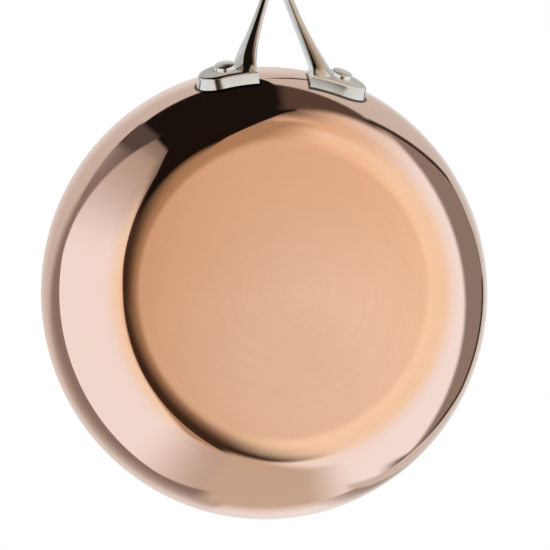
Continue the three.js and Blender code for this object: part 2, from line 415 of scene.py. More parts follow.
@dataclass(frozen=True)
class PolishedCopper(Finish):
    """Mirror copper with a circular brushed base."""

    polished: Colour = (0.88, 0.665, 0.585, 1.0)
    heel: Colour = (0.90, 0.585, 0.41, 1.0)
    # Paler copper of the painted light on the base, round a spot off its centre
    centre: Colour = (1.0, 0.69, 0.54, 1.0)
    brushed: Colour = (1.0, 0.59, 0.395, 1.0)
    # Colour of the painted contact shade round the handle's pads
    contact_shade: Colour = (0.05, 0.03, 0.02, 1.0)
    worn: float = 0.22
    painted_light_spot: Spot = (-20.0 * MM, 12.0 * MM, 0.0)
    painted_light_reach: Range = (17.85 * MM, 77.35 * MM)
    brush_inner: float = 59.5 * MM
    brush_outer: float = 67.5 * MM
    heel_outer: float = 77.5 * MM
    line_grain: Grain = Grain(1.6, 3.0)
    streak_grain: Grain = Grain(0.4, 2.0)
    cloud_grain: Grain = Grain(28.0, 3.0)
    mark_grain: Grain = Grain(0.9, 4.0)
    streak_share: float = 0.45
    tone_range: Range = (0.36, 0.64)
    cloud_range: Range = (0.35, 0.75)
    mark_range: Range = (0.45, 0.8)
    brush_roughness: float = 0.25
    line_roughness: float = 0.10
    mirror_roughness: float = 0.02
    mark_roughness: float = 0.05
    anisotropy: float = 0.5
    groove_depth: float = 0.01 * MM
    groove_strength: float = 0.2
    seat_height: float = 32.4 * MM
    seat_half: float = 7.7 * MM
    seat_start: float = math.radians(6.9)
    seat_feather: float = 0.006
    seat_bend: float = math.radians(16.7)
    seat_end: float = math.radians(23.4)
    pad_shade_range: Range = (1.22, 1.06)

    def pad_shade(self, sheet: NodeSheet, place: Socket) -> Socket:
        """Share of painted contact shade, dark in the corner round the handle's pads.

        Args:
            sheet: The material's nodes.
            place: Coordinates of the pan.

        Returns:
            The share, full under the pads and gone a little beyond their edge.
        """
        x, y, z = sheet.add("ShaderNodeSeparateXYZ", in0=place).outputs
        bearing = sheet.math("ABSOLUTE", sheet.math("ARCTAN2", y, x))
        past = sheet.math("MAXIMUM", 0.0, sheet.math("SUBTRACT", bearing, self.seat_bend))
        along = sheet.math("DIVIDE", past, self.seat_end - self.seat_bend)
        across = sheet.math("DIVIDE", sheet.math("SUBTRACT", z, self.seat_height), self.seat_half)
        square = sheet.math("MULTIPLY", across, across)
        away = sheet.math("MULTIPLY_ADD", along, along, square)
        inside = sheet.ease(bearing, self.seat_start - self.seat_feather, self.seat_start)
        return sheet.math("MULTIPLY", sheet.ease(away, *self.pad_shade_range), inside)

    def draw(self, sheet: NodeSheet) -> None:
        """Brushed rings up to the heel, then a mirror that turns from warm to pale copper.

        Args:
            sheet: The material's nodes.
        """
        place, radius, drawn = sheet.rings()
        mirror = sheet.ease(radius, self.brush_inner, self.brush_outer)
        lines = sheet.noise(drawn, self.line_grain)
        streaks = sheet.noise(drawn, self.streak_grain)
        cloud = sheet.noise(place, self.cloud_grain)
        marks = sheet.noise(drawn, self.mark_grain)
        tone = sheet.weigh(streaks, self.streak_share, lines)
        # Painted light: the brushed base is painted paler round a spot off its centre and more orange towards
        # its edge
        apart = sheet.vector("DISTANCE", place, self.painted_light_spot)["Value"]
        painted_light_base = sheet.blend(sheet.ease(apart, *self.painted_light_reach), self.centre, self.brushed)
        wear = sheet.math("ADD", sheet.ease(tone, *self.tone_range, self.worn, 0.0),
                          sheet.ease(cloud, *self.cloud_range, 0.0, self.worn))
        base = sheet.blend(wear, painted_light_base, self.heel)
        wall = sheet.blend(sheet.ease(radius, self.brush_outer, self.heel_outer), self.heel, self.polished)
        # Painted contact shade: the copper turns dark round the handle's pads
        colour = sheet.blend(self.pad_shade(sheet, place), sheet.blend(mirror, base, wall), self.contact_shade)
        rough = sheet.math("MULTIPLY_ADD", lines, self.line_roughness, self.brush_roughness)
        bright = sheet.ease(marks, *self.mark_range, self.mirror_roughness, self.mark_roughness)
        roughness = sheet.add("ShaderNodeMix", in0=mirror, in2=rough, in3=bright).outputs[0]
        grooves = sheet.math("MULTIPLY", lines, sheet.math("SUBTRACT", 1.0, mirror))
        self.metal(sheet, self.anisotropy, Base_Color=colour, Roughness=roughness,
                   Normal=sheet.bump(grooves, self.groove_depth, self.groove_strength))


@dataclass(frozen=True)
class BrushedSteel(Finish):
    """Stainless lining with circular brush marks."""

    bright: Colour = (0.66, 0.655, 0.64, 1.0)
    dull: Colour = (0.52, 0.515, 0.50, 1.0)
    line_grain: Grain = Grain(2.2, 3.0)
    streak_grain: Grain = Grain(0.5, 2.0)
    cloud_grain: Grain = Grain(24.0, 3.0)
    streak_share: float = 0.6
    tone_range: Range = (0.32, 0.68)
    cloud_range: Range = (0.3, 0.8)
    cloud_roughness: Range = (0.22, 0.30)
    line_roughness: float = 0.14
    anisotropy: float = 0.6
    groove_depth: float = 0.02 * MM
    groove_strength: float = 0.4

    def draw(self, sheet: NodeSheet) -> None:
        """Fine rings that catch the light, with faint cloudy use marks.

        Args:
            sheet: The material's nodes.
        """
        place, _, drawn = sheet.rings()
        lines = sheet.noise(drawn, self.line_grain)
        streaks = sheet.noise(drawn, self.streak_grain)
        cloud = sheet.noise(place, self.cloud_grain)
        tone = sheet.weigh(streaks, self.streak_share, lines)
        colour = sheet.blend(sheet.ease(tone, *self.tone_range), self.dull, self.bright)
        cloudy = sheet.ease(cloud, *self.cloud_range, *self.cloud_roughness)
        self.metal(sheet, self.anisotropy, Base_Color=colour,
                   Roughness=sheet.math("MULTIPLY_ADD", lines, self.line_roughness, cloudy),
                   Normal=sheet.bump(lines, self.groove_depth, self.groove_strength))


@dataclass(frozen=True)
class CutAluminium(Finish):
    """Cut edge of the core at the rim."""

    bright: Colour = (0.74, 0.745, 0.75, 1.0)
    dull: Colour = (0.56, 0.565, 0.57, 1.0)
    line_grain: Grain = Grain(9.0, 3.0)
    cloud_grain: Grain = Grain(90.0, 2.0)
    cloud_range: Range = (0.3, 0.7)
    roughness: float = 0.28
    line_roughness: float = 0.2
    groove_depth: float = 0.02 * MM
    groove_strength: float = 0.5

    def draw(self, sheet: NodeSheet) -> None:
        """Turned cut with fine tool lines.

        Args:
            sheet: The material's nodes.
        """
        place, _, drawn = sheet.rings()
        lines = sheet.noise(drawn, self.line_grain)
        cloud = sheet.noise(place, self.cloud_grain)
        colour = sheet.blend(sheet.ease(cloud, *self.cloud_range), self.dull, self.bright)
        self.metal(sheet, Base_Color=colour,
                   Roughness=sheet.math("MULTIPLY_ADD", lines, self.line_roughness, self.roughness),
                   Normal=sheet.bump(lines, self.groove_depth, self.groove_strength))


@dataclass(frozen=True)
class PolishedSteel(Finish):
    """Polished or satin stainless steel."""

    bright: Colour
    dull: Colour
    roughness: float
    waviness: float
    cloud_grain: Grain = Grain(120.0, 3.0)
    wave_grain: Grain = Grain(260.0, 1.0)
    rub_grain: Grain = Grain(1500.0, 3.0)
    tone_range: Range = (0.3, 0.75)
    dull_range: Range = (0.45, 0.8)
    dull_roughness: float = 0.05
    rub_roughness: float = 0.06
    wave_strength: float = 0.3

    def draw(self, sheet: NodeSheet) -> None:
        """Polish with faint casting waves and small rub marks.

        Args:
            sheet: The material's nodes.
        """
        place = sheet.place()
        cloud = sheet.noise(place, self.cloud_grain)
        waves = sheet.noise(place, self.wave_grain)
        rubs = sheet.noise(place, self.rub_grain)
        colour = sheet.blend(sheet.ease(cloud, *self.tone_range), self.bright, self.dull)
        grain = sheet.math("MULTIPLY_ADD", rubs, self.rub_roughness, self.roughness - self.rub_roughness / 2)
        duller = sheet.ease(cloud, *self.dull_range, 0.0, self.dull_roughness)
        self.metal(sheet, Base_Color=colour, Roughness=sheet.math("ADD", grain, duller),
                   Normal=sheet.bump(waves, self.waviness, self.wave_strength))


@dataclass(frozen=True)
class Arc:
    """One arc of the wall's section."""

    centre: Vector
    radius: float
    start: float
    end: float
    steps: int

    def points(self, depth: float) -> list[Vector]:
        """Points after the arc's start, at a depth below the outer surface."""
        turns = spread(self.start, self.end, self.steps)[1:]
        return [self.centre + outward(turn) * (self.radius - depth) for turn in turns]


@dataclass
class WallSection:
    """Section of the pan's wall: arcs that meet smoothly from the flat base up to the rim."""

    rim_radius: float
    height: float
    heel_radius: float = 30.0 * MM
    heel_turn: float = math.radians(15.0)
    corner_radius: float = 14.0 * MM
    wall_foot_turn: float = math.radians(54.0)
    wall_head_turn: float = math.radians(58.0)
    crease_radius: float = 3.0 * MM
    lip_foot_turn: float = math.radians(60.0)
    lip_head_turn: float = math.radians(71.0)
    lip_height: float = 15.0 * MM
    base_steps: int = 6
    heel_steps: int = 10
    corner_steps: int = 22
    wall_steps: int = 14
    crease_steps: int = 2
    lip_steps: int = 16

    def __post_init__(self) -> None:
        """Work out the radii and centres that follow from the sizes."""
        def climb(start: float, end: float) -> float:
            """Height that an arc of radius 1 climbs."""
            return math.cos(start) - math.cos(end)

        self.lip_radius = self.lip_height / climb(self.lip_foot_turn, self.lip_head_turn)
        wall_climb = (self.height - self.lip_height
                      - self.heel_radius * climb(0.0, self.heel_turn)
                      - self.corner_radius * climb(self.heel_turn, self.wall_foot_turn)
                      - self.crease_radius * climb(self.wall_head_turn, self.lip_foot_turn))
        self.wall_radius = wall_climb / climb(self.wall_foot_turn, self.wall_head_turn)
        rim = Vector((self.rim_radius, self.height))
        lip, crease, wall = self.lip_radius, self.crease_radius, self.wall_radius
        corner, heel = self.corner_radius, self.heel_radius
        self.lip_centre = rim - outward(self.lip_head_turn) * lip
        self.crease_centre = self.lip_centre + outward(self.lip_foot_turn) * (lip - crease)
        self.wall_centre = self.crease_centre + outward(self.wall_head_turn) * (crease - wall)
        self.corner_centre = self.wall_centre + outward(self.wall_foot_turn) * (wall - corner)
        self.heel_centre = self.corner_centre + outward(self.heel_turn) * (corner - heel)

    def points(self, depth: float) -> list[Vector]:
        """Section from the axis to the rim.

        Args:
            depth: Depth below the outer surface.

        Returns:
            Points of the radius and height plane.
        """
        heel, foot, head, lip = self.heel_turn, self.wall_foot_turn, self.wall_head_turn, self.lip_foot_turn
        rim_turn = math.acos((self.lip_centre.y - self.height) / (self.lip_radius - depth))
        arcs = [
            Arc(self.heel_centre, self.heel_radius, 0.0, heel, self.heel_steps),
            Arc(self.corner_centre, self.corner_radius, heel, foot, self.corner_steps),
            Arc(self.wall_centre, self.wall_radius, foot, head, self.wall_steps),
            Arc(self.crease_centre, self.crease_radius, head, lip, self.crease_steps),
            Arc(self.lip_centre, self.lip_radius, lip, rim_turn, self.lip_steps),
        ]
        flat = [Vector((self.heel_centre.x * share, depth)) for share in spread(0.0, 1.0, self.base_steps)]
        return flat + [point for arc in arcs for point in arc.points(depth)]


@dataclass
class LipSeat:
    """Frame on the lip under the handle's pads."""

    section: WallSection
    foot_drop: float = 4.6 * MM
    width: float = 14.8 * MM

    def __post_init__(self) -> None:
        """Work out the lip's slope under the pads' middle."""
        arc = (self.width / 2 - self.foot_drop) / self.section.lip_radius
        self.turn = self.section.lip_foot_turn + arc
        self.along = Vector((math.cos(self.turn), math.sin(self.turn)))
        self.out = outward(self.turn)
        self.middle = self.section.lip_centre + self.out * self.section.lip_radius

    def point(self, along: float, out: float) -> Vector:
        """Point up the slant from the pads' middle, then out from the copper."""
        return self.middle + self.along * along + self.out * out


@dataclass
class PanBody:
    """The three bonded layers, turned fine enough for a mirror finish."""

    section: WallSection
    copper_depth: float = 0.5 * MM
    core_depth: float = 2.0 * MM
    lining_depth: float = 2.5 * MM
    edge_round: float = 0.28 * MM
    edge_steps: int = 5
    steps: int = 288
    crease: float = math.radians(32.0)
    finishes: dict[Ply, Finish] = field(default_factory=lambda: {
        Ply.COPPER: PolishedCopper("polished_copper", "copper"),
        Ply.CORE: CutAluminium("cut_aluminium", "aluminium"),
        Ply.LINING: BrushedSteel("brushed_lining", "lining_steel"),
    })

    def ply_section(self, start: float, end: float, round_out: bool, round_in: bool) -> list[Vector]:
        """Closed section of one layer.

        Args:
            start: Depth of its outer face.
            end: Depth of its inner face.
            round_out: Whether its outer edge at the rim is rounded.
            round_in: Whether its inner edge at the rim is rounded.

        Returns:
            Points from the axis along the outer face, over the rim and back to the axis.
        """
        outer, inner = self.section.points(start), self.section.points(end)
        corners = [(outer[-2], outer[-1], inner[-1], round_out), (outer[-1], inner[-1], inner[-2], round_in)]
        count = self.edge_steps + 1
        rim: list[Vector] = []
        for before, corner, after, rounded in corners:
            if rounded:
                rim += filleted([before, corner, after], self.edge_round, self.edge_steps)[count:2 * count]
            else:
                rim.append(corner)
        return outer[:-1] + rim + list(reversed(inner[:-1]))

    def build(self, drills: list[Cutter]) -> list[bpy.types.Object]:
        """Turn the layers, drill them and dress them.

        Args:
            drills: Functions that each give a fresh drill body.

        Returns:
            The three pieces.
        """
        plies = [
            (Ply.COPPER, 0.0, self.copper_depth, True, False),
            (Ply.CORE, self.copper_depth, self.core_depth, False, False),
            (Ply.LINING, self.core_depth, self.lining_depth, False, True),
        ]
        pieces = []
        for ply, start, end, round_out, round_in in plies:
            name = "turned_" + ply.value
            mesh = MeshMaker.lathe(name, self.ply_section(start, end, round_out, round_in), self.steps)
            mesh = MeshMaker.combine(mesh, [drill() for drill in drills], Tooling.CUT)
            piece = MeshMaker.piece(name, mesh, self.crease)
            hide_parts(ply.value)
            self.finishes[ply].dress(piece)
            pieces.append(piece)
        return pieces


@dataclass
class CentreLine:
    """Curve that the handle follows in the plane of symmetry, measured by distance from its root."""

    knots: list[Vector]
    samples: int = 600

    def __post_init__(self) -> None:
        """Measure the curve."""
        self.spots = [self.bezier(share) for share in spread(0.0, 1.0, self.samples)]
        self.lengths = [0.0]
        for before, after in zip(self.spots, self.spots[1:]):
            self.lengths.append(self.lengths[-1] + (after - before).length)

    def bezier(self, share: float) -> Vector:
        """Point of the curve.

        Args:
            share: Share of its parameter, from 0 to 1.

        Returns:
            The point.
        """
        row = self.knots
        while len(row) > 1:
            row = [a.lerp(b, share) for a, b in zip(row, row[1:])]
        return row[0]

    @property
    def length(self) -> float:
        """Whole length of the curve."""
        return self.lengths[-1]

    def frame(self, distance: float) -> tuple[Vector, Vector]:
        """Place on the curve, straight on beyond both ends.

        Args:
            distance: Distance from the root.

        Returns:
            The point and the direction there.
        """
        i = min(max(bisect.bisect(self.lengths, distance) - 1, 0), self.samples - 1)
        step = (self.spots[i + 1] - self.spots[i]).normalized()
        return self.spots[i] + step * (distance - self.lengths[i]), step


@dataclass
class Handle:
    """Cast handle: two pads on the lip, two arms that meet in a fork, and a grip with a hanging eye."""

    seat: LipSeat
    tip: float
    seat_gap: float = 0.3 * MM
    pad_thickness: float = 4.9 * MM
    pad_round: float = 1.5 * MM
    pad_end: float = 9.5 * MM
    pad_draft: float = 1.3 * MM
    pad_inner: float = math.radians(7.1)
    pad_outer: float = math.radians(22.4)
    pad_ring_shares: Range = (0.25, 0.6)
    pad_slit: float = 0.15 * MM
    pad_side_steps: int = 18
    pad_end_steps: int = 32
    pad_edge_steps: int = 8
    rise: float = 66.0 * MM
    root_slope: float = math.radians(50.0)
    tip_slope: float = math.radians(5.0)
    bend_share: float = 1.0 / 3.0
    root_burial: float = 0.9 * MM
    root_drop: float = 2.2 * MM
    root_tail: float = 5.0 * MM
    root_slimming: float = 0.65
    fork_length: float = 57.0 * MM
    fork_gap: float = 24.4 * MM
    fork_gap_power: float = 1.45
    crotch_gap: float = 2.4 * MM
    arm_width: float = 3.8 * MM
    arm_flare: float = 6.2 * MM
    arm_flare_length: float = 25.0 * MM
    arm_bevel_limit: float = 1.0 / 3.0
    arm_steps: int = 52
    thickness: float = 5.6 * MM
    bevel: float = 1.3 * MM
    outer_bevel: float = 1.2 * MM
    outer_bevel_lean: float = 1.1
    outer_bevel_room: float = 1.2
    inner_bevel_share: float = 0.6
    bevel_share: float = 0.45
    crown: float = 0.5 * MM
    crown_ridge: float = 0.25
    crown_lift: float = 0.1
    crown_steps: int = 6
    edge_round: float = 0.35 * MM
    edge_steps: int = 2
    grip_width: float = 19.0 * MM
    grip_swell: float = 60.0 * MM
    grip_steps: int = 48
    grip_end_turn: float = math.radians(83.0)
    grip_end_steps: int = 16
    grip_bevel_limit: float = 0.66
    eye_width: float = 8.0 * MM
    eye_length: float = 18.0 * MM
    eye_edge: float = 6.0 * MM
    eye_steps: int = 20
    crease: float = math.radians(24.0)
    finish: Finish = PolishedSteel("polished_casting", "cast_steel", (0.68, 0.69, 0.685, 1.0),
                                   (0.60, 0.61, 0.605, 1.0), 0.08, 0.04 * MM)

    def __post_init__(self) -> None:
        """Lay the centre line from the pads to the tip."""
        self.face = self.seat_gap + self.pad_thickness
        root = at_bearing(self.seat.point(-self.root_drop, self.face - self.root_burial), self.pad_inner)
        start = Vector((root.x, root.z))
        end = Vector((self.tip, root.z + self.rise))
        pull = (self.tip - self.seat.section.rim_radius) * self.bend_share
        leave = Vector((math.cos(self.root_slope), math.sin(self.root_slope)))
        arrive = Vector((math.cos(self.tip_slope), math.sin(self.tip_slope)))
        self.line = CentreLine([start, start + leave * pull, end - arrive * pull, end])
        closed = 1.0 - self.crotch_gap / self.fork_gap
        self.crotch = self.fork_length * closed ** (1.0 / self.fork_gap_power)

    def half_gap(self, distance: float) -> float:
        """Half of the gap between the arms."""
        share = min(1.0, max(0.0, distance) / self.fork_length)
        return self.fork_gap / 2 * (1.0 - share ** self.fork_gap_power)

    def arm_outer(self, distance: float) -> float:
        """Half width over both arms."""
        flare = self.arm_flare * math.exp(-((max(0.0, distance) / self.arm_flare_length) ** 2))
        return self.half_gap(distance) + self.arm_width + flare

    def grip_outer(self, distance: float) -> float:
        """Half width of the grip, which swells out from the crotch of the fork."""
        share = smooth_share(distance, self.crotch, self.crotch + self.grip_swell)
        start = self.arm_outer(self.crotch)
        return start + (self.grip_width / 2 - start) * share

    def place(self, distance: float, across: float, height: float) -> Vector:
        """Point beside the centre line: along it, across it, and up from it."""
        spot, step = self.line.frame(distance)
        return Vector((spot.x - step.y * height, across, spot.y + step.x * height))

    def bar(self, distance: float, outline: list[Vector]) -> list[Vector]:
        """Ring of a bar's rounded outline at a distance."""
        rounded = filleted(outline, self.edge_round, self.edge_steps)
        return [self.place(distance, point.x, point.y) for point in rounded]

    def arm_outline(self, distance: float) -> list[Vector]:
        """Outline of the right arm, crowned below, with a broad bevel on its outer lower edge.

        Args:
            distance: Distance from the root, below 0 where the arm sinks into its pad.

        Returns:
            Points across and up from the centre line.
        """
        inner, outer = self.half_gap(distance), self.arm_outer(distance)
        sink = max(0.0, -distance / self.root_tail)
        slim = 1.0 - self.root_slimming * sink * sink
        low, high = -self.thickness / 2 * slim, self.thickness / 2 * slim
        small = min(self.bevel, (outer - inner) * self.arm_bevel_limit)
        inset = small * self.inner_bevel_share
        broad = self.outer_bevel + self.bevel_share * (outer - inner - self.arm_width)
        room = self.thickness - self.crown - self.outer_bevel_room * self.bevel
        rise = min(self.outer_bevel_lean * broad, room) * slim
        shares = spread(0.0, 1.0, self.crown_steps)
        across = spread(inner + inset, outer - broad, self.crown_steps)
        curve = [((share - self.crown_ridge) / (1.0 - self.crown_ridge)) ** 2 for share in shares]
        return [
            *[Vector((x, low + self.crown * bend)) for x, bend in zip(across, curve)],
            Vector((outer, low + self.crown + rise)),
            Vector((outer, high - small * slim)),
            Vector((outer - small, high)),
            Vector((inner + small, high)),
            Vector((inner, high - small * slim)),
            Vector((inner, low + self.crown_lift * self.crown + inset * slim)),
        ]

    def arm(self, side: Side) -> bpy.types.Mesh:
        """One arm of the fork.

        Args:
            side: Side that it stands on.

        Returns:
            Its closed mesh.
        """
        rings = []
        for distance in spread(-self.root_tail, self.fork_length, self.arm_steps):
            outline = [Vector((side.value * p.x, p.y)) for p in self.arm_outline(distance)]
            rings.append(self.bar(distance, outline))
        return MeshMaker.loft(f"arm_{side.name.lower()}", rings)

    def grip(self) -> bpy.types.Mesh:
        """Grip from the crotch of the fork to its round end.

        Returns:
            Its closed mesh.
        """
        half, radius = self.thickness / 2, self.grip_width / 2
        end = self.line.length - radius
        stations = [(distance, self.grip_outer(distance))
                    for distance in spread(self.crotch, end, self.grip_steps)]
        for turn in spread(0.0, self.grip_end_turn, self.grip_end_steps)[1:]:
            stations.append((end + radius * math.sin(turn), radius * math.cos(turn)))
        rings = []
        for distance, outer in stations:
            bevel = min(self.bevel, outer * self.grip_bevel_limit)
            outline = [
                Vector((bevel - outer, -half)), Vector((outer - bevel, -half)),
                Vector((outer, bevel - half)), Vector((outer, half - bevel)),
                Vector((outer - bevel, half)), Vector((bevel - outer, half)),
                Vector((-outer, half - bevel)), Vector((-outer, bevel - half)),
            ]
            rings.append(self.bar(distance, outline))
        return MeshMaker.loft("grip", rings)

    def pad_outline(self, inset: float) -> list[Range]:
        """Plan of a pad, drawn in from its edge.

        Args:
            inset: Distance from the pad's edge.

        Returns:
            Pairs of the distance round the rim from the handle and the place up the slant.
        """
        radius, half = self.seat.middle.x, self.seat.width / 2
        near, far = self.pad_inner * radius, self.pad_outer * radius - self.pad_end
        reach, stretch = half - inset, self.pad_end - inset
        start = near + max(inset, 0.0)
        turns = spread(0.0, math.pi, self.pad_end_steps)[1:]
        plan = [(a, -reach) for a in spread(start, far, self.pad_side_steps)]
        plan += [(far + stretch * math.sin(t), -reach * math.cos(t)) for t in turns]
        plan += [(a, reach) for a in spread(far, start, self.pad_side_steps)[1:]]
        plan += [(start, w) for w in spread(reach, -reach, self.pad_edge_steps)[1:-1]]
        return plan

    def pad(self, side: Side) -> bpy.types.Mesh:
        """One pad that follows the rim, with an oval outer end and softly rounded edges.

        Args:
            side: Side that it lies on.

        Returns:
            Its closed mesh.
        """
        half = self.seat.width / 2
        insets = [*[half * share for share in self.pad_ring_shares], half - self.pad_slit]
        turns = spread(0.0, math.pi / 2, self.pad_edge_steps)[1:]
        levels = [(self.seat_gap, inset) for inset in reversed(insets)]
        levels += [(self.seat_gap, -self.pad_draft), (self.face - self.pad_round, 0.0)]
        levels += [(self.face - self.pad_round * (1.0 - math.sin(t)), self.pad_round * (1.0 - math.cos(t)))
                   for t in turns]
        levels += [(self.face, inset) for inset in insets]
        rings = [
            [at_bearing(self.seat.point(w, out), side.value * a / self.seat.middle.x)
             for a, w in self.pad_outline(inset)]
            for out, inset in levels
        ]
        return MeshMaker.loft(f"pad_{side.name.lower()}", rings)

    def eye(self) -> bpy.types.Mesh:
        """Body of the round-ended slot that cuts the hanging eye.

        Returns:
            Its closed mesh.
        """
        radius, straight = self.eye_width / 2, (self.eye_length - self.eye_width) / 2
        middle = self.line.length - self.eye_edge - self.eye_length / 2
        turns = spread(0.0, math.pi, self.eye_steps)
        plan = [(straight + radius * math.sin(t), -radius * math.cos(t)) for t in turns]
        plan += [(-straight - radius * math.sin(t), radius * math.cos(t)) for t in turns]
        levels = (-self.thickness, self.thickness)
        rings = [[self.place(middle + along, across, height) for along, across in plan] for height in levels]
        return MeshMaker.loft("eye", rings)

    def build(self, cutters: list[Cutter]) -> bpy.types.Object:
        """Join the casting, cut its holes and dress it.

        Args:
            cutters: Functions that each give a fresh drill or spot face body.

        Returns:
            The handle, kept out of mirrors, because the copper would show the pads twice.
        """
        parts = [self.arm(side) for side in Side] + [self.pad(side) for side in Side]
        mesh = MeshMaker.combine(self.grip(), parts, Tooling.JOIN)
        mesh.name = "cast_handle"
        mesh = MeshMaker.combine(mesh, [self.eye(), *[cutter() for cutter in cutters]], Tooling.CUT)
        piece = MeshMaker.piece("cast_handle", mesh, self.crease)
        piece.visible_glossy = False
        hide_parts("handle")
        self.finish.dress(piece)
        return piece


@dataclass
class Rivets:
    """Steel rivets through the pads, with a cylindrical head outside and a low domed one inside."""

    seat: LipSeat
    pad_face: float
    wall: float
    bearing: float = math.radians(15.0)
    gap: float = 0.3 * MM
    head_radius: float = 4.6 * MM
    head_height: float = 2.4 * MM
    head_round: float = 0.4 * MM
    head_dome: float = 0.35 * MM
    head_foot: float = 0.15 * MM
    head_steps: int = 6
    shank_radius: float = 2.6 * MM
    inner_radius: float = 5.2 * MM
    inner_height: float = 1.8 * MM
    inner_steps: int = 14
    spot_face_height: float = 20.0 * MM
    steps: int = 72
    crease: float = math.radians(35.0)
    finish: Finish = PolishedSteel("satin_rivet", "rivet_steel", (0.76, 0.76, 0.75, 1.0),
                                   (0.68, 0.68, 0.67, 1.0), 0.17, 0.03 * MM)

    def stand(self, side: Side) -> Matrix:
        """Frame on the lip with its Z axis out of the copper.

        Args:
            side: Side of the rivet.

        Returns:
            The frame, with the copper's surface at height 0.
        """
        bearing = side.value * self.bearing
        turn = at_bearing(self.seat.out, bearing).to_track_quat("Z", "Y").to_matrix().to_4x4()
        return Matrix.Translation(at_bearing(self.seat.middle, bearing)) @ turn

    def cylinder(self, side: Side, radius: float, start: float, end: float) -> bpy.types.Mesh:
        """Cutting cylinder on a rivet's axis.

        Args:
            side: Side of the rivet.
            radius: Radius of the cylinder.
            start: Height above the copper at which it starts.
            end: Height above the copper at which it ends.

        Returns:
            Its closed mesh.
        """
        section = [Vector((0.0, start)), Vector((radius, start)), Vector((radius, end)), Vector((0.0, end))]
        mesh = MeshMaker.lathe("cutter", section, self.steps)
        mesh.transform(self.stand(side))
        return mesh

    def drills(self) -> list[Cutter]:
        """Functions that give the drill bodies for both shanks."""
        radius, reach = self.shank_radius + self.gap, self.wall + 2.0 * self.pad_face
        return [lambda side=side: self.cylinder(side, radius, -reach, reach) for side in Side]

    def spot_faces(self) -> list[Cutter]:
        """Functions that give the bodies that free the outer heads."""
        radius, top = self.head_radius + self.gap, self.pad_face + self.spot_face_height
        return [lambda side=side: self.cylinder(side, radius, self.pad_face, top) for side in Side]

    def section(self) -> list[Vector]:
        """Closed section of a rivet.

        Returns:
            Points from its inner head on the axis round to its outer head on the axis.
        """
        foot, inner = self.pad_face + self.gap, -self.wall - self.gap
        top, soft = foot + self.head_height, self.head_round
        flat, brim = self.head_radius - soft, top - self.head_dome
        dome = [Vector((self.inner_radius * math.sin(t), inner - self.inner_height * math.cos(t)))
                for t in spread(0.0, math.pi / 2, self.inner_steps)]
        edge = [Vector((flat + soft * math.cos(t), brim - soft * (1.0 - math.sin(t))))
                for t in spread(0.0, math.pi / 2, self.head_steps)]
        crown = [Vector((flat * share, top - self.head_dome * share * share))
                 for share in spread(1.0, 0.0, self.head_steps)[1:]]
        return [
            *dome,
            Vector((self.shank_radius, inner)),
            Vector((self.shank_radius, foot)),
            Vector((self.head_radius - self.head_foot, foot)),
            Vector((self.head_radius, foot + self.head_foot)),
            *edge,
            *crown,
        ]

    def build(self) -> list[bpy.types.Object]:
        """Turn both rivets, set them in place and dress them.

        Returns:
            The two pieces, kept out of mirrors like the handle.
        """
        pieces = []
        for side in Side:
            name = f"turned_rivet_{side.name.lower()}"
            mesh = MeshMaker.lathe(name, self.section(), self.steps)
            mesh.transform(self.stand(side))
            piece = MeshMaker.piece(name, mesh, self.crease)
            piece.visible_glossy = False
            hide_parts(f"rivet_{side.name.lower()}")
            self.finish.dress(piece)
            pieces.append(piece)
        return pieces


@dataclass(frozen=True)
class Edge:
    """Soft edge of a card in the studio, square to a direction."""

    toward: Spot
    start: float
    full: float

    def share(self, sheet: NodeSheet, way: Socket) -> Socket:
        """Share of the card that lies past this edge, by the way that a ray goes."""
        lean = sheet.vector("DOT_PRODUCT", way, self.toward)["Value"]
        return sheet.ease(lean, self.start, self.full)


@dataclass(frozen=True)
class Card:
    """Card or flag that the metal mirrors, bounded by soft edges."""

    colour: Colour
    edges: tuple[Edge, ...]

    def paint(self, sheet: NodeSheet, way: Socket, behind: Paint) -> Socket:
        """Colour of the studio with this card put in.

        Args:
            sheet: The world's nodes.
            way: Way that a ray goes.
            behind: Colour of the studio without the card.

        Returns:
            The colour with the card in front.
        """
        share = self.edges[0].share(sheet, way)
        for edge in self.edges[1:]:
            share = sheet.math("MULTIPLY", share, edge.share(sheet, way))
        return sheet.blend(share, behind, self.colour)


def bearing_edge(bearing: float, rising: bool, start: float, full: float) -> Edge:
    """Edge of a card along an upright plane at a bearing.

    Args:
        bearing: Bearing of the edge in degrees.
        rising: Whether the card lies on the side of larger bearings.
        start: Distance past the edge at which the card starts.
        full: Distance past the edge at which it is full.

    Returns:
        The edge.
    """
    sign = 1.0 if rising else -1.0
    angle = math.radians(bearing)
    return Edge((-sign * math.sin(angle), sign * math.cos(angle), 0.0), start, full)


# Directions from the pan, seen from below with the handle in front
UP = (0.0, 0.0, 1.0)
DOWN = (0.0, 0.0, -1.0)
FRONT = (1.0, 0.0, 0.0)
BACK = (-1.0, 0.0, 0.0)
RIGHT = (0.0, 1.0, 0.0)
LEFT = (0.0, -1.0, 0.0)
TOWARD_FLAG = (0.602, 0.799, 0.0)
TOWARD_PANEL = (-0.602, -0.799, 0.0)
LEANING_FLAG = (0.602, 0.799, -0.18)

